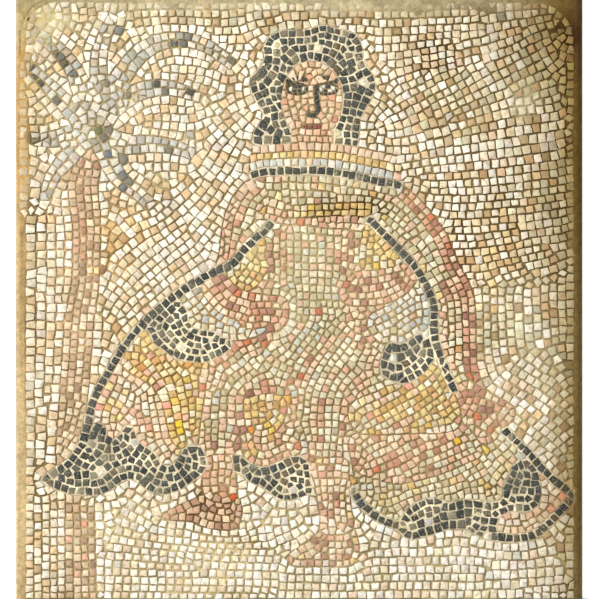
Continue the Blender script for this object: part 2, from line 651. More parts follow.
SLOT_HEAPS = {
    "dark_stone": "dark", "yellow_stone": "yellow", "pink_stone": "pink", "grey_stone": "grey",
    "beige_stone": "beige", "ground_stone": "ground", "palm_stone": "palm", "trunk_stone": "trunk",
    "skin_stone": "skin", "white_stone": "white",
}
heap_names = list(HEAPS)
print(len(HEAPS), "heaps,", sum(len(heap) for heap in HEAPS.values()), "kinds of stone")

# %% [markdown]
# ## Folds, shades and single stones
# A mosaicist draws in stone. A fold is a line of pink stones through a beige dress, a shaded corner has browner ground,
# and now and then one bright stone turns up in a row. Lines, zones and single spots are given as places on the cartoon
# sheet, and each line or zone takes most of its stones from a second heap.

# %% Lines drawn through the fields
LINE_SHARE = 0.78
DRAWN_LINES = [
    ("pink", 0.6, [(283, 213), (282, 240), (284, 264), (282, 292)]),
    ("foot", 0.6, [(272, 244), (272, 262), (268, 280), (265, 296)]),
    ("pink", 1.1, [(345, 224), (343, 246), (345, 268), (350, 296), (358, 322), (364, 344)]),
    ("foot", 0.6, [(353, 238), (353, 258), (353, 272)]),
    ("rose", 0.7, [(284, 322), (266, 339), (246, 347), (226, 353), (209, 368), (204, 384)]),
    ("pink", 0.9, [(203, 386), (202, 410), (204, 446)]),
    ("rose", 0.6, [(299, 296), (311, 302), (318, 316)]),
    ("pink", 0.7, [(330, 340), (316, 356), (303, 374), (296, 398), (292, 424)]),
    ("pink", 0.7, [(378, 352), (368, 376), (352, 396), (344, 420), (340, 452)]),
    ("rose", 0.6, [(246, 392), (262, 388), (282, 386), (298, 380)]),
    ("pink", 0.8, [(236, 400), (238, 424), (235, 448)]),
    ("pink", 0.7, [(318, 400), (316, 430), (318, 458)]),
    ("pink", 0.9, [(262, 176), (250, 190), (242, 208), (238, 232), (230, 256)]),
    ("pink", 0.6, [(441, 254), (447, 280), (445, 306), (443, 336), (450, 366)]),
    ("rose", 0.7, [(470, 392), (484, 402), (496, 414)]),
    ("rose", 0.6, [(486, 404), (474, 414), (482, 428)]),
    ("pink", 0.7, [(360, 441), (388, 440), (416, 437)]),
    ("rose", 0.8, [(386, 464), (410, 457), (432, 446), (450, 436)]),
    ("rose", 0.6, [(352, 448), (360, 462), (372, 470)]),
    ("pink", 0.6, [(104, 376), (112, 366), (126, 358), (142, 352)]),
    ("rose", 0.5, [(146, 352), (152, 366), (158, 384)]),
    ("pink", 0.5, [(154, 392), (162, 416), (170, 444)]),
    ("yellow", 1.6, [(134, 348), (160, 360), (182, 380), (192, 410), (190, 440)]),
    ("yellow", 0.6, [(112, 392), (104, 414)]),
    ("pink", 1.0, [(246, 446), (268, 440), (292, 446)]),
    ("foot", 0.5, [(321, 404), (333, 412), (345, 408)]),
    ("foot", 1.0, [(94, 148), (86, 176), (81, 210), (79, 250)]),
]
print(len(DRAWN_LINES), "drawn lines")

# %% Zones of other ground
ZONE_SHARE = 0.62
ZONES = [
    ("shaded_ground", (548, 60), (46, 60)), ("shaded_ground", (556, 200), (40, 110)),
    ("shaded_ground", (560, 340), (34, 110)), ("shaded_ground", (566, 470), (26, 70)),
    ("shaded_ground", (470, 96), (70, 46)), ("shaded_ground", (500, 320), (50, 60)),
    ("ochre_ground", (24, 130), (12, 74)), ("ochre_ground", (36, 120), (16, 60)),
    ("ochre_ground", (122, 232), (30, 24)), ("ochre_ground", (128, 330), (20, 18)),
    ("shaded_ground", (290, 16), (300, 14)), ("ochre_ground", (490, 250), (40, 60)),
]
print(len(ZONES), "zones")

# %% Single odd stones
PUPIL = (58, 60, 62)
ODD_STONES = [
    ((232, 500), (216, 88, 36)), ((455, 438), (226, 178, 52)), ((177, 423), (238, 202, 54)),
    ((178, 432), (232, 190, 60)), ((250, 430), (226, 148, 58)), ((285, 398), (224, 170, 70)),
    ((95, 131), (104, 112, 70)), ((31, 68), (88, 88, 80)), ((38, 76), (104, 100, 88)), ((42, 84), (92, 90, 78)),
    ((68, 61), (96, 90, 72)), ((53, 54), (112, 104, 84)), ((76, 75), (110, 112, 108)), ((175, 43), (88, 92, 90)),
    ((179, 44), (104, 108, 104)), ((192, 37), (118, 120, 112)), ((231, 63), (108, 106, 92)), ((155, 84), (84, 84, 74)),
    ((192, 93), (82, 82, 72)), ((107, 86), (128, 124, 106)), ((110, 151), (110, 116, 124)),
    ((123, 156), (124, 122, 112)), ((123, 184), (112, 118, 122)), ((116, 28), (120, 124, 122)),
    ((120, 174), (116, 120, 118)), ((28, 136), (132, 124, 96)), ((36, 139), (120, 114, 92)),
    ((102, 268), (150, 120, 86)),
]
print(len(ODD_STONES), "odd stones")

# %% Grime of the edges and corners
MOST_GRIME = 0.9
GRIME = [
    ((598, 10), (100, 90), 0.6), ((600, 120), (66, 150), 0.42), ((510, 0), (130, 70), 0.2),
    ((600, 520), (62, 110), 0.36), ((604, 300), (50, 420), 0.54), ((578, 300), (13, 420), 0.3),
    ((528, 180), (56, 110), 0.18), ((528, 520), (44, 60), 0.07), ((300, -12), (420, 18), 0.14),
    ((80, -4), (120, 14), 0.16), ((20, 70), (36, 130), 0.2), ((27, 210), (7, 230), 0.16),
    ((40, 300), (60, 200), 0.05), ((346, 208), (54, 14), 0.2),
]
GRIME_COLOUR = np.array([0.82, 0.92, 1.14])
print(len(GRIME), "grimy places")

# %% Strays from other heaps
ACCENTS = [
    ("palm_fronds", "ground", 0.09), ("upper_ground", "palm", 0.003), ("tunic", "pink", 0.1),
    ("torso_pink_left", "rose", 0.4), ("torso_pink_right", "rose", 0.16),
    ("palm_trunk_foot", "pale_pink", 0.35), ("left_sleeve_edge", "neckline", 0.55),
    ("shoulders_and_sleeves", "pink", 0.08), ("shoulders_and_sleeves", "yellow", 0.08), ("hair", "beige", 0.03),
    ("hem_left", "grey", 0.04), ("hem_right", "grey", 0.06), ("hem_centre", "grey", 0.05),
    ("skirt_yellow_left", "pale_pink", 0.2), ("skirt_yellow_right", "pale_pink", 0.18),
    ("skirt_yellow_centre", "pale_pink", 0.16), ("skirt_pink_right", "beige", 0.2),
    ("skirt_pink_centre", "yellow", 0.12), ("sleeve_cuff", "beige", 0.22), ("left_leg", "skin", 0.5),
    ("right_leg", "pink", 0.28), ("right_foot", "pale_pink", 0.8), ("skirt_yellow_right", "beige", 0.2),
    ("fold_dark_left", "grey", 0.05), ("fold_dark_right", "grey", 0.05),
    ("fold_grey_left", "beige", 0.3), ("fold_grey_right", "beige", 0.35), ("skirt_beige_right", "yellow", 0.1),
    ("palm_trunk", "pale_pink", 0.1), ("collar_grey", "pale_pink", 0.16),
]
print(len(ACCENTS), "kinds of stray")

# %% Deal every stone from a heap
ZONE_RIM = 1.3
ZONE_BOOST = 1.4
slot_of = {part["node"]: part["material_slot"] for part in frame["record"]["subparts"]}
count = len(stones["x"])
stone_field = np.array(stones["field"])
stone_place = middle + [cad_low.x, cad_low.z]


def distance_to_line(places, line):
    """How far each place is from a line through places of the cartoon."""
    line = [on_panel(knot) for knot in line]
    shortest = np.full(len(places), 9.0)
    for start, end in zip(line, line[1:]):
        run = end - start
        share = np.clip(((places - start) @ run) / (run @ run), 0, 1)
        shortest = np.minimum(shortest, np.linalg.norm(places - start - share[:, None] * run, axis=1))
    return shortest


def inside_zone(places, middle_place, radii):
    """1 in the middle of an oval zone, falling to 0 at its rim."""
    reach = (places - on_panel(middle_place)) / [radii[0] * METRES_ACROSS, radii[1] * METRES_UP]
    return np.clip(ZONE_RIM - np.linalg.norm(reach, axis=1), 0, 1)


heap_of = np.zeros(count, int)
for name, number in list(field_number.items())[1:]:
    heap = FIELD_HEAPS.get(name, SLOT_HEAPS[slot_of[name]])
    heap_of[stone_field == number] = heap_names.index(heap)
heap_of[stone_field == LIDS] = heap_names.index("ink")
for name, heap, share in ACCENTS:
    heap_of[(stone_field == field_number[name]) & (chance.random(count) < share)] = heap_names.index(heap)
on_ground = np.isin(stone_field, ground_numbers)
for heap, zone_middle, radii in ZONES:
    pull = ZONE_SHARE * ZONE_BOOST * inside_zone(stone_place, zone_middle, radii)
    picked = on_ground & (chance.random(count) < pull)
    heap_of[picked] = heap_names.index(heap)
drawn_fields = {name for name in field_number if name.startswith("skirt")}
drawn_fields |= {"tunic", "shoulders_and_sleeves", "sleeve_cuff", "torso_pink_left", "torso_pink_right", "palm_trunk"}
takes_lines = np.isin(stone_field, [field_number[name] for name in drawn_fields])
for heap, width, line in DRAWN_LINES:
    close = distance_to_line(stone_place, line) < width * PITCH
    heap_of[takes_lines & close & (chance.random(count) < LINE_SHARE)] = heap_names.index(heap)
print("heaps given to", count, "stones, the ground heap to", int((heap_of == 0).sum()))

# %% Give every stone its colour
TONE_SPREAD, HUE_SPREAD = 0.075, 0.018
GRIME_BOOST = 1.2
PUPIL_REACH = 0.66 * FEATURE_PITCH


def to_linear(colour):
    """Daylight colour numbers up to 255, as the linear light that a shader needs."""
    colour = np.clip(np.asarray(colour, float) / 255, 0, 1)
    return np.where(colour <= 0.04045, colour / 12.92, ((colour + 0.055) / 1.055) ** 2.4)


def grimed(places):
    """The share of light that the grime lets through at these places, for red, green and blue."""
    grime = np.zeros(len(places))
    for grime_middle, radii, strength in GRIME:
        share = np.clip(inside_zone(places, grime_middle, radii) * GRIME_BOOST, 0, 1)
        grime = 1 - (1 - grime) * (1 - strength * share)
    return 1 - np.clip(grime[:, None] * GRIME_COLOUR, 0, MOST_GRIME)


stone_colour = np.zeros((count, 3))
for number, name in enumerate(heap_names):
    here = np.nonzero(heap_of == number)[0]
    shares = np.array([share for share, _ in HEAPS[name]], float)
    picks = chance.choice(len(shares), len(here), p=shares / shares.sum())
    stone_colour[here] = to_linear(np.array([colour for _, colour in HEAPS[name]]))[picks]
stone_colour *= chance.normal(1, TONE_SPREAD, (count, 1)) * chance.normal(1, HUE_SPREAD, (count, 3))
for spot, colour in ODD_STONES:
    nearest = np.argmin(np.linalg.norm(stone_place - on_panel(spot), axis=1))
    stone_colour[nearest] = to_linear(colour)
stone_colour = np.clip(stone_colour, 0.01, 0.98) * grimed(stone_place)
for name in ("left_eye", "right_eye"):
    here = np.nonzero(stone_field == field_number[name])[0]
    off = np.abs(stone_place[here, 0] - stone_place[here, 0].mean())
    stone_colour[here[off < PUPIL_REACH]] = to_linear(PUPIL)
print("colours dealt to", count, "stones")

# %% [markdown]
# ## The colours of the mortar
# Old mortar is never one colour: lime makes it pale, and damp and dirt make it brown. Soft ovals of colour are mixed
# over a base, the small ones last. The slab takes these colours, and so does the film that smears some of the stones.

# %% Colour the mortar from place to place
MORTAR_BASE = (144, 123, 80)
MORTAR_TINTS = [
    ((122, 102, 60), (512, 170), (80, 230), 0.85), ((184, 169, 129), (112, 110), (110, 110), 0.7),
    ((186, 162, 118), (300, 350), (170, 160), 0.6), ((222, 204, 154), (200, 550), (140, 60), 0.75),
    ((206, 190, 142), (430, 565), (150, 40), 0.6), ((190, 168, 118), (560, 470), (34, 90), 0.6),
    ((184, 156, 108), (18, 300), (8, 420), 1.0), ((196, 172, 126), (18, 480), (9, 130), 0.9),
    ((198, 156, 92), (22, 130), (9, 80), 0.9), ((184, 166, 124), (520, 370), (50, 90), 0.8),
    ((182, 168, 132), (300, 0), (330, 13), 0.9), ((150, 132, 90), (582, 300), (14, 420), 0.95),
    ((188, 172, 126), (300, 270), (70, 60), 0.6), ((176, 140, 82), (110, 240), (46, 44), 0.7),
    ((200, 172, 130), (72, 300), (28, 150), 0.8), ((184, 158, 118), (325, 500), (16, 50), 0.8),
    ((150, 132, 74), (262, 538), (30, 14), 0.7), ((214, 176, 110), (160, 360), (40, 30), 0.5),
    ((176, 168, 128), (526, 96), (18, 24), 0.8), ((190, 176, 128), (44, 26), (30, 26), 0.7),
    ((176, 160, 120), (315, 92), (32, 44), 0.8), ((154, 116, 70), (234, 308), (36, 32), 0.7),
    ((84, 58, 24), (434, 60), (26, 22), 0.9), ((96, 70, 30), (566, 36), (14, 16), 0.85),
    ((94, 70, 32), (346, 206), (42, 12), 0.85), ((106, 80, 44), (208, 512), (36, 26), 0.9),
    ((198, 176, 126), (325, 160), (80, 6), 0.7), ((146, 112, 50), (174, 398), (24, 42), 0.55),
    ((108, 80, 42), (458, 290), (14, 100), 0.6), ((92, 66, 28), (340, 214), (60, 8), 0.6),
    ((192, 162, 122), (116, 400), (20, 50), 0.6),
]
LIGHT_MORTAR = (236, 224, 192)
FILM = (208, 196, 162)
TINT_BOOST = 1.6


def mortar_colour(places):
    """The colour of the mortar at these places, before grime, as linear light."""
    tint = np.tile(to_linear(MORTAR_BASE), (len(places), 1))
    for colour, zone_middle, radii, strength in MORTAR_TINTS:
        share = np.clip(inside_zone(places, zone_middle, radii) * TINT_BOOST, 0, 1) * strength
        tint += (to_linear(colour) - tint) * share[:, None]
    return tint


print("mortar colours:", len(MORTAR_TINTS) + 1)

# %% [markdown]
# ## Setting the stones
# Each stone is the pattern stone stretched over its four corners. It is pressed in until its face is level with the
# slab, but never quite: some sink a little and some lean. Where old mortar still smears the panel, stones sit lower.

# %% Old mortar that smears the stones
SMEAR_SPREAD = (0.5, 1.3)
STRAY_FILM = 0.5
MORTAR_IN_FILM = 0.35
SMEARS = [
    ((290, 2), (330, 9), 0.9), ((46, 22), (26, 22), 0.7), ((30, 40), (14, 40), 0.5),
    ((526, 96), (14, 20), 0.6), ((24, 300), (7, 420), 0.7),
    ((512, 62), (10, 12), 0.5), ((560, 20), (30, 20), 0.8), ((470, 128), (24, 10), 0.45), ((96, 20), (30, 14), 0.5),
    ((116, 268), (10, 18), 0.5), ((70, 95), (16, 20), 0.35), ((430, 6), (160, 12), 0.8), ((30, 410), (14, 60), 0.5),
    ((100, 470), (10, 10), 0.3), ((577, 250), (9, 330), 0.6), ((340, 185), (60, 14), 0.35),
    ((300, 260), (50, 60), 0.28), ((400, 470), (60, 30), 0.25), ((422, 562), (20, 8), 0.5), ((145, 420), (14, 20), 0.3),
    ((400, 320), (24, 22), 0.4), ((226, 322), (26, 14), 0.35), ((22, 490), (9, 110), 0.5),
]


def smeared(places):
    """How much old mortar lies over the stones at these places, from 0 to 1."""
    cover = np.zeros(len(places))
    for smear_middle, radii, strength in SMEARS:
        cover = np.maximum(cover, strength * inside_zone(places, smear_middle, radii))
    return cover


film = smeared(stone_place) * chance.uniform(*SMEAR_SPREAD, count) + STRAY_FILM * chance.random(count) ** 5
film = np.clip(film, 0, 1)
film_colour = MORTAR_IN_FILM * mortar_colour(stone_place) + (1 - MORTAR_IN_FILM) * to_linear(FILM)
film_colour *= grimed(stone_place)
print("stones under half a film or more:", int((film > 0.5).sum()))

# %% Open the joints
JOINT = 0.00051
JOINT_SPREAD = (0.1, 2.2)
FINE_JOINT = 0.4
SMALLEST_STONE = 0.004
CORNER_JITTER = 0.00046
size = np.sqrt(np.maximum(owned, 1)) * CELL / FINE
fine_work = np.isin(heap_of, [heap_names.index("ink"), heap_names.index("lips")])
joint = JOINT * chance.uniform(*JOINT_SPREAD, count) * np.where(fine_work, FINE_JOINT, 1)
keep = 1 - joint / np.maximum(size, SMALLEST_STONE)
centres = corners.mean(axis=1, keepdims=True)
set_corners = centres + (corners - centres) * keep[:, None, None]
set_corners += chance.normal(0, CORNER_JITTER, set_corners.shape) * (size / PITCH)[:, None, None]
set_corners += [cad_low.x, cad_low.z]
print("joints are", round(float(joint.mean()) * 2000, 2), "mm wide on average")

# %% Know the parts of the pattern stone
SIDE_BAND = 5
plan_u, plan_v = pattern_places[:, 0], pattern_places[:, 1]
outline_angle = np.degrees(np.arctan2(plan_v, plan_u))
corner_turn = np.round((outline_angle - 45) / 90)
from_corner = outline_angle - 45 - 90 * corner_turn
outline_number = (corner_turn.astype(int) % 4) * 3 + np.digitize(from_corner, [-SIDE_BAND, SIDE_BAND])
ring = np.hypot(plan_u, plan_v) > 0.1
is_face = pattern_places[:, 2] > 1.5
is_foot = pattern_places[:, 2] < 0
print("points on the face:", int(is_face.sum()), "at the foot:", int(is_foot.sum()))

# %% Stretch the pattern stone over many places
OUTLINE_BEND = 0.058
LEAN = 0.03
SINK = 0.0005
FILM_SINK = 0.0005
FACE_DROP = 0.00012
CROWN = 0.00015
ARRIS = 0.0004
ARRIS_SPREAD = (0.6, 1.5)
INSET = 0.00005
FACE_LEVEL = cad_low.y
HIGHEST_LEVEL = FACE_LEVEL + 0.00002
FOOT_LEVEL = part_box("upper_ground")[1].y - 0.0002
inner_low, inner_high = (np.array([box.x, box.z]) + step for box, step in ((cad_low, INSET), (cad_high, -INSET)))


def stone_points(numbers):
    """The points of many stones at once: stones by points by x, y, z."""
    bend = chance.normal(1, OUTLINE_BEND, (len(numbers), 12))[:, outline_number]
    bend = np.where(ring, bend, 0)
    u, v = plan_u * bend, plan_v * bend
    quad = set_corners[numbers]
    weights = [(1 - u) * (1 - v), (1 + u) * (1 - v), (1 + u) * (1 + v), (1 - u) * (1 + v)]
    plan_places = sum(weight[:, :, None] * quad[:, number, None, :] for number, weight in enumerate(weights)) / 4
    plan_places = np.clip(plan_places, inner_low, inner_high)
    off = plan_places - quad.mean(axis=1)[:, None, :]
    leaning = chance.normal(0, LEAN, (len(numbers), 1, 2))
    sunk = chance.random((len(numbers), 1)) ** 2 * SINK + film[numbers][:, None] * FILM_SINK
    face = FACE_LEVEL + sunk + (off * leaning).sum(axis=2) + FACE_DROP
    arris = ARRIS * chance.uniform(*ARRIS_SPREAD, (len(numbers), len(plan_u)))
    level = np.where(is_face, face, face + arris)
    level = np.where(is_face & ~ring, face - CROWN, level)
    level = np.maximum(level, HIGHEST_LEVEL)
    level = np.where(is_foot, FOOT_LEVEL, level)
    return np.stack([plan_places[:, :, 0], level, plan_places[:, :, 1]], axis=2)


print("stones reach from", round(FACE_LEVEL, 4), "to", round(FOOT_LEVEL, 4))

# %% Build the fields out of stones
FACE_EDGE_RIM = 0.18
FINE_RIM = 0.35
flat_faces = np.concatenate(pattern_faces)
face_sizes = np.array([len(face) for face in pattern_faces])


def paint(mesh, name, parts):
    """Stores three numbers for every point of a mesh, as a colour."""
    shades = np.ones((len(parts), 4), np.float32)
    shades[:, :3] = parts
    mesh.attributes.new(name, "FLOAT_COLOR", "POINT").data.foreach_set("color", shades.reshape(-1))


def set_field(name, numbers):
    """All the stones of one field as one mesh object."""
    points = stone_points(numbers)
    each = len(pattern_places)
    mesh = bpy.data.meshes.new(name + "_stones")
    mesh.vertices.add(len(numbers) * each)
    mesh.vertices.foreach_set("co", points.reshape(-1).astype(np.float32))
    loops = (flat_faces[None, :] + np.arange(len(numbers))[:, None] * each).reshape(-1)
    sizes = np.tile(face_sizes, len(numbers))
    mesh.loops.add(len(loops))
    mesh.loops.foreach_set("vertex_index", loops.astype(np.int32))
    mesh.polygons.add(len(sizes))
    mesh.polygons.foreach_set("loop_start", (np.cumsum(sizes) - sizes).astype(np.int32))
    mesh.update(calc_edges=True)
    mesh.validate()
    paint(mesh, "stone_colour", np.repeat(stone_colour[numbers], each, axis=0))
    paint(mesh, "film_colour", np.repeat(film_colour[numbers], each, axis=0))
    rim = np.where(is_face & ~ring, 0.0, np.where(is_face, FACE_EDGE_RIM, 1.0))
    rim = rim * np.where(fine_work[numbers], FINE_RIM, 1)[:, None]
    own = np.stack([film[numbers], chance.random(len(numbers))], axis=1)
    paint(mesh, "stone_state", np.column_stack([rim.reshape(-1), np.repeat(own, each, axis=0)]))
    piece = bpy.data.objects.new(name + "_stones", mesh)
    bpy.context.scene.collection.objects.link(piece)
    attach(piece, "root")
    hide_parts(name)
    return piece


stone_pieces = {}
for name, number in list(field_number.items())[1:]:
    belongs = stone_field == number
    if name == "face":
        belongs |= stone_field == LIDS
    stone_pieces[name] = set_field(name, np.nonzero(belongs & whole)[0])
largest = max(stone_pieces.values(), key=lambda piece: len(piece.data.polygons))
print(len(stone_pieces), "fields laid; the largest,", largest.name, "has",
      len(largest.data.polygons) // len(pattern_faces) * triangles_each, "triangles")

# %% [markdown]
# ## The mortar slab
# The slab was cast face up round the stones and its surface was smoothed with a trowel. Between the stones the mortar
# lies a little lower than their faces, at the worn edges it runs over them, and the bare left margin keeps the lines of
# the trowel. It is made from a grid whose border is pulled back to the wall, so the slab is one closed skin.

# %% Smooth random fields for uneven surfaces
def cloud(across, along, draws):
    """Soft random hills over the plan, with hills this wide and this high apart."""
    size_x = int((cad_high.x - cad_low.x) / across) + 3
    size_z = int((cad_high.z - cad_low.z) / along) + 3
    hills = draws.uniform(-1, 1, (size_z, size_x))
    z, x = np.arange(ROWS) * CELL / along, np.arange(COLUMNS) * CELL / across
    z0, x0 = z.astype(int), x.astype(int)
    blend_z, blend_x = z - z0, x - x0
    blend_z = (blend_z * blend_z * (3 - 2 * blend_z))[:, None]
    blend_x = (blend_x * blend_x * (3 - 2 * blend_x))[None, :]
    lower = hills[z0][:, x0] * (1 - blend_x) + hills[z0][:, x0 + 1] * blend_x
    upper = hills[z0 + 1][:, x0] * (1 - blend_x) + hills[z0 + 1][:, x0 + 1] * blend_x
    return lower * (1 - blend_z) + upper * blend_z


print("a soft random field has values from", round(float(cloud(0.05, 0.05, np.random.default_rng(1)).min()), 2))

# %% How deep the mortar lies
JOINT_DEPTH = 0.0021
JOINT_WAVE = 0.0002
NEAR_DARK = 0.003
MARGIN_WAVE = 0.00035
GRIT = 0.00012
TROWEL_LINE = 0.00035
STRIP_END, STRIP_FADE = 30, 0.006
SMEAR_BOOST, SMEAR_RAGGED, SMEAR_RIM = 1.25, 0.45, 0.12
SMEAR_FILL, DARK_FILL, WAVE_FILL, LEAST_FILL = 0.82, 0.5, 0.2, 0.15
cell_middles = np.stack([(column_grid + 0.5) * CELL + cad_low.x, (row_grid + 0.5) * CELL + cad_low.z], axis=2)
flat_middles = cell_middles.reshape(-1, 2)
cover = smeared(flat_middles).reshape(plan.shape)
uneven = 0.6 * cloud(0.012, 0.012, chance) + 0.4 * cloud(0.005, 0.005, chance)
rough = cloud(0.003, 0.003, chance)
run_over = np.clip(cover * SMEAR_BOOST + SMEAR_RAGGED * uneven * (cover > 0.05) - SMEAR_RIM, 0, 1)
dark_numbers = [field_number[name] for name in field_names[1:]
                if FIELD_HEAPS.get(name, SLOT_HEAPS[slot_of[name]]) in ("dark", "dark_line", "hair")]
_, dark_distance = nearest_marked(np.isin(plan, dark_numbers))
near_dark = np.clip(1 - dark_distance * CELL / NEAR_DARK, 0, 1)
depth = 1 - SMEAR_FILL * run_over - DARK_FILL * near_dark + WAVE_FILL * cloud(0.02, 0.02, chance)
joint_level = JOINT_DEPTH * np.maximum(depth, LEAST_FILL) + JOINT_WAVE * uneven + GRIT * rough
trowel = cloud(0.0022, 0.09, chance)
left_strip = np.clip((on_panel((STRIP_END, 0))[0] - cell_middles[:, :, 0]) / STRIP_FADE, 0, 1)
margin_level = MARGIN_WAVE * (0.5 + 0.5 * uneven) + GRIT * (1 + rough)
margin_level += TROWEL_LINE * (0.5 + 0.5 * trowel) * left_strip
in_recess = blurred((plan != MARGIN)[None].astype(float), 2)[0]
surface_below = margin_level * (1 - in_recess) + joint_level * in_recess
print("mortar lies", round(float(joint_level.mean()) * 1000, 2), "mm below the slab's face between the stones")

# %% Model the slab
GRID_STEP = 0.0026
EDGE_STEPS = np.array([0.0, 0.0004, 0.0012, 0.0024, 0.004])


def grid_lines(low, high):
    """Grid lines from edge to edge, closer together at both rounded edges."""
    inner = np.linspace(low + EDGE_STEPS[-1], high - EDGE_STEPS[-1], int((high - low) / GRID_STEP) + 1)
    return np.concatenate([low + EDGE_STEPS[:-1], inner, (high - EDGE_STEPS[:-1])[::-1]])


def plan_cells(x, z):
    """Row and column of the plan at these places."""
    rows = np.clip(((z - cad_low.z) / CELL).astype(int), 0, ROWS - 1)
    return rows, np.clip(((x - cad_low.x) / CELL).astype(int), 0, COLUMNS - 1)


lines_x, lines_z = grid_lines(cad_low.x, cad_high.x), grid_lines(cad_low.z, cad_high.z)
bpy.ops.object.select_all(action="DESELECT")
bpy.ops.mesh.primitive_grid_add(x_subdivisions=len(lines_x) - 1, y_subdivisions=len(lines_z) - 1, size=2)
slab = bpy.context.object
slab.name = "mortar_slab"
mesh = slab.data
places = mesh_places(mesh)
number_x = np.round((places[:, 0] + 1) / 2 * (len(lines_x) - 1)).astype(int)
number_z = np.round((places[:, 1] + 1) / 2 * (len(lines_z) - 1)).astype(int)
x, z = lines_x[number_x], lines_z[number_z]
print("slab grid:", len(lines_x), "by", len(lines_z), "lines")

# %% Lay the grid over the slab
NUDGE = 0.00005
bed = nodes["mortar_bed"].data
bed_tree = BVHTree.FromPolygons([vertex.co[:] for vertex in bed.vertices],
                                [face.vertices[:] for face in bed.polygons])
probe_x = np.clip(x, cad_low.x + NUDGE, cad_high.x - NUDGE)
probe_z = np.clip(z, cad_low.z + NUDGE, cad_high.z - NUDGE)
row_of, column_of = plan_cells(x, z)
slab_face = np.full(len(x), cad_low.y)
for number in np.nonzero(in_recess[row_of, column_of] < 0.99)[0]:
    hit = bed_tree.ray_cast(Vector((probe_x[number], cad_low.y - 0.01, probe_z[number])), Vector((0, 1, 0)))[0]
    if hit is None:
        continue
    if hit.y < BED_FLOOR - DEPTH_SLACK or plan[row_of[number], column_of[number]] == MARGIN:
        slab_face[number] = hit.y
level = slab_face + surface_below[row_of, column_of]
mesh.vertices.foreach_set("co", np.stack([x, level, z], axis=1).reshape(-1).astype(np.float32))
mesh.update()
print("the face of the slab lies between", round(float(slab_face.min()), 4), "and", round(float(slab_face.max()), 4))

# %% Close the slab down to the wall
bpy.ops.object.mode_set(mode="EDIT")
bpy.ops.mesh.select_all(action="SELECT")
bpy.ops.mesh.region_to_loop()
bpy.ops.mesh.extrude_region_move(TRANSFORM_OT_translate={"value": (0, 0.02, 0)})
bpy.ops.transform.resize(value=(1, 0, 1), center_override=(0, cad_high.y, 0))
bpy.ops.mesh.edge_face_add()
bpy.ops.mesh.select_all(action="SELECT")
bpy.ops.mesh.normals_make_consistent(inside=False)
bpy.ops.object.mode_set(mode="OBJECT")
triangles = sum(len(face.vertices) - 2 for face in slab.data.polygons)
print("slab:", triangles, "triangles, box", [round(side, 4) for side in slab.dimensions])

# %% Give the slab its colours
LIME_SHARE, LIME_WAVE = 0.8, 0.3
BROAD_TONE, FINE_TONE, PATCH_TONE, TROWEL_TONE = 0.12, 0.1, 0.3, 0.2
tint = mortar_colour(flat_middles).reshape(plan.shape + (3,))
tint += (to_linear(LIGHT_MORTAR) - tint) * (0.9 * near_dark * (LIME_SHARE + LIME_WAVE * uneven))[:, :, None]
patchy = cloud(0.03, 0.03, chance)
tone = 1 + BROAD_TONE * uneven + FINE_TONE * rough + PATCH_TONE * patchy * in_recess
tint *= (tone + TROWEL_TONE * trowel * left_strip)[:, :, None]
tint *= grimed(flat_middles).reshape(tint.shape)
places = mesh_places(slab.data)
paint(slab.data, "mortar_tone", tint[plan_cells(places[:, 0], places[:, 2])])
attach(slab, "root")
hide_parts("mortar_bed")
print("mortar coloured at", len(places), "points")

# %% [markdown]
# ## Finishes
# Every stone shares two effects: the grain of broken limestone, and the old mortar that clings to rims and films over
# faces. Each is a shader node group, built once. The mortar has two more: sand grains, and on its hidden sides the
# marks of the boards it was cast on. The groups only put out colours, masks and heights that change over the surface;
# plain numbers such as the gloss stay on the shader itself.

# %% Tools for node groups
COLOUR, NUMBER = "NodeSocketColor", "NodeSocketFloat"


def feed(tree, socket, value):
    """Links a socket to another node's output, or sets it to a plain value."""
    if isinstance(value, bpy.types.NodeSocket):
        tree.links.new(value, socket)
    else:
        socket.default_value = value


def new_group(name, inputs, outputs):
    """An empty shader node group, with the sockets that come in and the ones that go out."""
    group = bpy.data.node_groups.new(name, "ShaderNodeTree")
    for title, kind, value in inputs:
        socket = group.interface.new_socket(title, in_out="INPUT", socket_type=kind)
        if value is not None:
            socket.default_value = value
    for title, kind in outputs:
        group.interface.new_socket(title, in_out="OUTPUT", socket_type=kind)
    return group, group.nodes.new("NodeGroupInput").outputs, group.nodes.new("NodeGroupOutput").inputs


def add_node(tree, kind, settings=None, **inputs):
    """A node with its settings, and its inputs linked or set by name."""
    node = tree.nodes.new(kind)
    for key, value in (settings or {}).items():
        setattr(node, key, value)
    for title, value in inputs.items():
        wanted = title.replace("_", " ")
        feed(tree, next(one for one in node.inputs if one.name.lower() == wanted and one.enabled), value)
    return node


def place_group(tree, group, **inputs):
    """A node group placed in a material, with its inputs linked or set by name."""
    node = add_node(tree, "ShaderNodeGroup", {"node_tree": group})
    for title, value in inputs.items():
        feed(tree, node.inputs[title], value)
    return node.outputs


# %% Tools for numbers and colours
def calculate(tree, operation, *values):
    """The result of a sum on one to three numbers."""
    node = add_node(tree, "ShaderNodeMath", {"operation": operation})
    for socket, value in zip(node.inputs, values):
        feed(tree, socket, value)
    return node.outputs[0]


def ramp(tree, value, low, high, to_low=0.0, to_high=1.0):
    """A value stretched from one range to another and held inside it."""
    return add_node(tree, "ShaderNodeMapRange", {"clamp": True}, value=value, from_min=low, from_max=high,
                    to_min=to_low, to_max=to_high).outputs[0]


def mix_colours(tree, share, first, second, blend="MIX"):
    """One colour mixed into another."""
    node = add_node(tree, "ShaderNodeMix", {"data_type": "RGBA", "blend_type": blend})
    for socket, value in zip((node.inputs[0], node.inputs[6], node.inputs[7]), (share, first, second)):
        feed(tree, socket, value)
    return node.outputs[2]


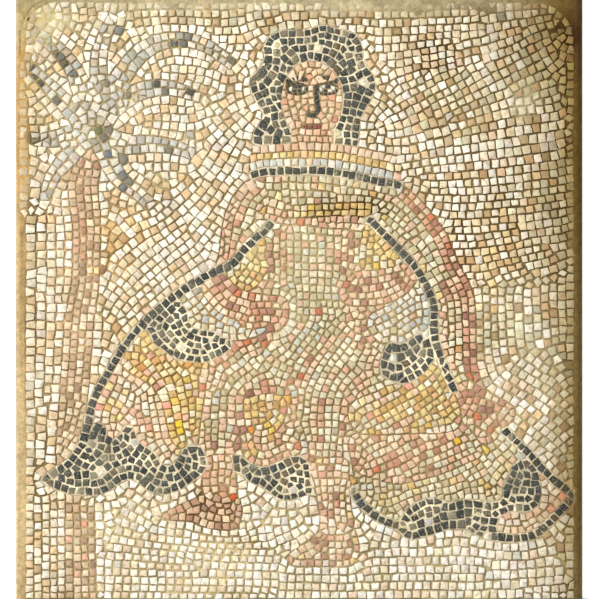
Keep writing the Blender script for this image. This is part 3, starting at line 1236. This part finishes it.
def shaded(tree, colour, factor):
    """A colour made lighter or darker by a number."""
    grey = add_node(tree, "ShaderNodeCombineXYZ", x=factor, y=factor, z=factor).outputs[0]
    return mix_colours(tree, 1.0, colour, grey, "MULTIPLY")


def noise(tree, place, scale, detail, roughness=0.5, seed=None):
    """Soft random hills; with a seed they differ from stone to stone."""
    node = add_node(tree, "ShaderNodeTexNoise", vector=place, scale=scale, detail=detail, roughness=roughness)
    if seed is not None:
        node.noise_dimensions = "4D"
        feed(tree, node.inputs["W"], seed)
    return node.outputs[0]


# %% Grain of broken stone
RUST = (*to_linear((176, 132, 78)), 1.0)
PIT_SHADE, FLECK_SHADE = (0.16, 0.1, 0.05, 1.0), (0.72, 0.72, 0.66, 1.0)
grain_group, ins, outs = new_group(
    "stone_grain",
    [("Colour", COLOUR, None), ("Seed", NUMBER, 0.0), ("Cloudiness", NUMBER, 0.2), ("Flecks", NUMBER, 0.0),
     ("Pits", NUMBER, 0.5), ("Stain", NUMBER, 0.3)],
    [("Colour", COLOUR), ("Height", NUMBER), ("Roughness", NUMBER)])
tree = grain_group
place = add_node(tree, "ShaderNodeTexCoord").outputs["Object"]
seed = calculate(tree, "MULTIPLY", ins["Seed"], 40.0)
soft = noise(tree, place, 260.0, 3.0, 0.6, seed)
fine = noise(tree, place, 950.0, 2.0, 0.5, seed)
spots = add_node(tree, "ShaderNodeTexVoronoi", {"voronoi_dimensions": "4D"}, vector=place, w=seed,
                 scale=380.0).outputs["Distance"]
stain = noise(tree, place, 120.0, 4.0, 0.7, seed)
is_stain = calculate(tree, "MULTIPLY", ramp(tree, stain, 0.5, 0.66), ins["Stain"])
colour = mix_colours(tree, is_stain, ins["Colour"], RUST)
tone = calculate(tree, "ADD", ramp(tree, soft, 0.3, 0.7, -1.0, 1.0), ramp(tree, fine, 0.3, 0.7, -0.8, 0.8))
colour = shaded(tree, colour, calculate(tree, "MULTIPLY_ADD", tone, ins["Cloudiness"], 1.0))
is_pit = calculate(tree, "MULTIPLY", ramp(tree, spots, 0.16, 0.08), ins["Pits"])
is_pit = calculate(tree, "MULTIPLY", is_pit, ramp(tree, soft, 0.44, 0.6))
colour = mix_colours(tree, is_pit, colour, PIT_SHADE)
is_fleck = calculate(tree, "MULTIPLY", ramp(tree, fine, 0.6, 0.68), ins["Flecks"])
feed(tree, outs["Colour"], mix_colours(tree, is_fleck, colour, FLECK_SHADE))
hills, holes = calculate(tree, "ADD", soft, fine), calculate(tree, "MULTIPLY", is_pit, 2.0)
feed(tree, outs["Height"], calculate(tree, "SUBTRACT", hills, holes))
feed(tree, outs["Roughness"], ramp(tree, soft, 0.3, 0.7, 0.62, 0.86))
print(grain_group.name, "has", len(tree.nodes), "nodes")

# %% Mortar that clings to rims and films over faces
cling_group, ins, outs = new_group(
    "clinging_mortar",
    [("Colour", COLOUR, None), ("Rim", NUMBER, 0.0), ("Film", NUMBER, 0.0), ("Mortar", COLOUR, None),
     ("Dirt", COLOUR, None), ("Amount", NUMBER, 0.5)],
    [("Colour", COLOUR), ("Mask", NUMBER)])
tree = cling_group
place = add_node(tree, "ShaderNodeTexCoord").outputs["Object"]
patches = ramp(tree, noise(tree, place, 300.0, 4.0, 0.65), 0.3, 0.7, -0.35, 0.35)
broad = ramp(tree, noise(tree, place, 60.0, 2.0), 0.3, 0.7, -0.12, 0.12)
ragged = calculate(tree, "ADD", patches, broad)
at_rim = calculate(tree, "ADD", calculate(tree, "MULTIPLY", ins["Rim"], ins["Amount"]),
                   calculate(tree, "MULTIPLY", ragged, 0.6))
dirty = mix_colours(tree, ramp(tree, at_rim, 0.25, 0.6, 0.0, 0.9), ins["Colour"], ins["Dirt"])
filmed = calculate(tree, "ADD", calculate(tree, "MULTIPLY", ins["Film"], 0.85), ragged)
mask = ramp(tree, filmed, 0.3, 0.75, 0.0, 0.92)
feed(tree, outs["Colour"], mix_colours(tree, mask, dirty, ins["Mortar"]))
feed(tree, outs["Mask"], mask)
print(cling_group.name, "has", len(tree.nodes), "nodes")

# %% Sand in the mortar
sand_group, ins, outs = new_group(
    "mortar_sand",
    [("Colour", COLOUR, None), ("Strength", NUMBER, 0.3)],
    [("Colour", COLOUR), ("Height", NUMBER), ("Roughness", NUMBER)])
tree = sand_group
place = add_node(tree, "ShaderNodeTexCoord").outputs["Object"]
grains = add_node(tree, "ShaderNodeTexVoronoi", vector=place, scale=560.0).outputs
lumps = noise(tree, place, 140.0, 5.0, 0.7)
sparkle = add_node(tree, "ShaderNodeSeparateColor", color=grains["Color"]).outputs[0]
swing = calculate(tree, "ADD", ramp(tree, sparkle, 0.0, 1.0, -0.6, 0.6), ramp(tree, lumps, 0.3, 0.7, -1.0, 1.0))
feed(tree, outs["Colour"], shaded(tree, ins["Colour"], calculate(tree, "MULTIPLY_ADD", swing, ins["Strength"], 1.0)))
feed(tree, outs["Height"], calculate(tree, "ADD", grains["Distance"], calculate(tree, "MULTIPLY", lumps, 2.0)))
feed(tree, outs["Roughness"], ramp(tree, lumps, 0.3, 0.7, 0.84, 0.96))
print(sand_group.name, "has", len(tree.nodes), "nodes")

# %% Marks of the casting boards
SLIT_SHADE = (0.2, 0.16, 0.1, 1.0)
board_group, ins, outs = new_group(
    "board_marks",
    [("Colour", COLOUR, None), ("Board", COLOUR, None)],
    [("Colour", COLOUR), ("Height", NUMBER)])
tree = board_group
place = add_node(tree, "ShaderNodeTexCoord").outputs["Object"]
depth = add_node(tree, "ShaderNodeSeparateXYZ", vector=place).outputs["Y"]
behind = ramp(tree, depth, -0.0405, -0.034)
along = add_node(tree, "ShaderNodeMapping", vector=place, scale=(9.0, 9.0, 130.0)).outputs[0]
grain = noise(tree, along, 1.0, 5.0, 0.7)
bands = add_node(tree, "ShaderNodeTexWave", {"wave_type": "BANDS", "bands_direction": "Z"}, vector=place, scale=2.9)
slit = ramp(tree, bands.outputs["Fac"], 0.006, 0.0)
boards = shaded(tree, ins["Board"], ramp(tree, grain, 0.3, 0.7, 0.82, 1.1))
boards = mix_colours(tree, calculate(tree, "MULTIPLY", slit, 0.4), boards, SLIT_SHADE)
feed(tree, outs["Colour"], mix_colours(tree, behind, ins["Colour"], boards))
feed(tree, outs["Height"], calculate(tree, "MULTIPLY", calculate(tree, "SUBTRACT", grain, slit), behind))
print(board_group.name, "has", len(tree.nodes), "nodes")

# %% Finishes of the stones
OLIVE, UMBER, LIME = ((*to_linear(shade), 1.0) for shade in ((110, 90, 54), (88, 66, 34), (204, 190, 152)))


def attribute(tree, name):
    """The colour stored on the points of a mesh."""
    return add_node(tree, "ShaderNodeAttribute", {"attribute_name": name}).outputs["Color"]


def finish(name, gloss, strength, distance):
    """A new material, with its node tree, its shader and a bump node that feeds the shader."""
    material = bpy.data.materials.new(name)
    material.use_nodes = True
    tree = material.node_tree
    shader = tree.nodes["Principled BSDF"]
    shader.inputs["Specular IOR Level"].default_value = gloss
    bump = add_node(tree, "ShaderNodeBump", strength=strength, distance=distance)
    feed(tree, shader.inputs["Normal"], bump.outputs["Normal"])
    return material, tree, shader, bump


def stone_finish(name, dirt, cling, cloudiness, flecks, pits, stain, gloss):
    """A stone finish: grain first, then the dirt and mortar that cling to it."""
    material, tree, shader, bump = finish(name, gloss, 0.8, 0.0006)
    rim, smear, seed = add_node(tree, "ShaderNodeSeparateColor", color=attribute(tree, "stone_state")).outputs
    grain = place_group(tree, grain_group, Colour=attribute(tree, "stone_colour"), Seed=seed, Cloudiness=cloudiness,
                        Flecks=flecks, Pits=pits, Stain=stain)
    clinging = place_group(tree, cling_group, Colour=grain["Colour"], Rim=rim, Film=smear,
                           Mortar=attribute(tree, "film_colour"), Dirt=dirt, Amount=cling)
    feed(tree, shader.inputs["Base Color"], clinging["Colour"])
    feed(tree, shader.inputs["Roughness"], grain["Roughness"])
    feed(tree, bump.inputs["Height"], grain["Height"])
    return material


FINISHES = {
    "ground_stone": ("ivory_limestone", UMBER, 0.5, 0.15, 0.0, 0.9, 0.6, 0.3),
    "palm_stone": ("grey_limestone", OLIVE, 0.5, 0.19, 0.12, 0.6, 0.35, 0.3),
    "trunk_stone": ("tan_limestone", OLIVE, 0.5, 0.19, 0.12, 0.6, 0.3, 0.3),
    "dark_stone": ("blue_black_stone", LIME, 0.42, 0.32, 0.6, 0.1, 0.0, 0.4),
    "skin_stone": ("salmon_limestone", OLIVE, 0.4, 0.15, 0.06, 0.4, 0.2, 0.3),
    "yellow_stone": ("yellow_limestone", UMBER, 0.46, 0.2, 0.08, 0.6, 0.4, 0.3),
    "pink_stone": ("rose_limestone", OLIVE, 0.46, 0.2, 0.1, 0.6, 0.35, 0.3),
    "grey_stone": ("pale_grey_stone", OLIVE, 0.5, 0.19, 0.12, 0.6, 0.3, 0.3),
    "beige_stone": ("olive_beige_stone", OLIVE, 0.5, 0.2, 0.1, 0.8, 0.4, 0.3),
    "white_stone": ("white_marble", OLIVE, 0.28, 0.06, 0.0, 0.1, 0.1, 0.4),
}
stone_finishes = {slot: stone_finish(*values) for slot, values in FINISHES.items()}
for name, piece in stone_pieces.items():
    piece.data.materials.append(stone_finishes[slot_of[name]])
print(len(stone_finishes), "stone finishes")

# %% Finish of the slab
BOARD_MORTAR = (*to_linear((168, 154, 124)), 1.0)
cast_mortar, tree, shader, bump = finish("cast_mortar", 0.2, 0.6, 0.0005)
boards = place_group(tree, board_group, Colour=attribute(tree, "mortar_tone"), Board=BOARD_MORTAR)
sand = place_group(tree, sand_group, Colour=boards["Colour"], Strength=0.26)
feed(tree, shader.inputs["Base Color"], sand["Colour"])
feed(tree, shader.inputs["Roughness"], sand["Roughness"])
feed(tree, bump.inputs["Height"], calculate(tree, "ADD", sand["Height"], boards["Height"]))
slab.data.materials.append(cast_mortar)
print("slab finished with", cast_mortar.name)

# %% [markdown]
# ## Light and floor
# The picture was taken in bright, even light with a little more from the upper left, against white. A large soft lamp
# up there draws the shade line at each stone, a second one fills in, and the room is near white.

# %% Lamps
scene = bpy.context.scene
scene.view_settings.view_transform = "Standard"
scene.view_settings.look = "None"


def soft_lamp(name, place, size, power):
    """A square area lamp that faces the panel."""
    bpy.ops.object.light_add(type="AREA", location=place)
    lamp = bpy.context.object
    lamp.name = name
    lamp.data.size = size
    lamp.data.energy = power
    lamp.rotation_euler = (-Vector(place)).to_track_quat("-Z", "Y").to_euler()
    return lamp


soft_lamp("key_lamp", (-2.8, -2.8, 2.8), 0.9, 218)
soft_lamp("fill_lamp", (1.6, -2.6, 0.4), 1.8, 7)
soft_lamp("floor_lamp", (0.0, 1.6, 2.2), 1.5, 100)

# %% The room
ROOM_LIGHT = 0.31
ROOM_SEEN = 1.05
world = bpy.data.worlds.new("room")
scene.world = world
world.use_nodes = True
room = world.node_tree
room.nodes.clear()
sight = room.nodes.new("ShaderNodeLightPath").outputs["Is Camera Ray"]
seen = add_node(room, "ShaderNodeBackground", color=(1.0, 1.0, 1.0, 1.0), strength=ROOM_SEEN).outputs[0]
light = add_node(room, "ShaderNodeBackground", color=(1.0, 0.98, 0.94, 1.0), strength=ROOM_LIGHT).outputs[0]
both = room.nodes.new("ShaderNodeMixShader")
for socket, value in zip(both.inputs, (sight, light, seen)):
    feed(room, socket, value)
feed(room, room.nodes.new("ShaderNodeOutputWorld").inputs[0], both.outputs[0])
print("room light", ROOM_LIGHT, "and what the camera sees of it", ROOM_SEEN)

# %% The floor
FLOOR_SIZE = 10.0
FLOOR_BEHIND = 0.3
FLOOR_GAP = 0.0005
bpy.ops.mesh.primitive_plane_add(size=FLOOR_SIZE, location=(0, FLOOR_BEHIND - FLOOR_SIZE / 2, cad_low.z - FLOOR_GAP))
floor = bpy.context.object
floor.name = "floor"
pale_floor = bpy.data.materials.new("pale_floor")
pale_floor.use_nodes = True
shader = pale_floor.node_tree.nodes["Principled BSDF"]
shader.inputs["Base Color"].default_value = (0.95, 0.95, 0.94, 1.0)
shader.inputs["Roughness"].default_value = 0.8
floor.data.materials.append(pale_floor)
print("floor", FLOOR_GAP * 1000, "mm under the panel")
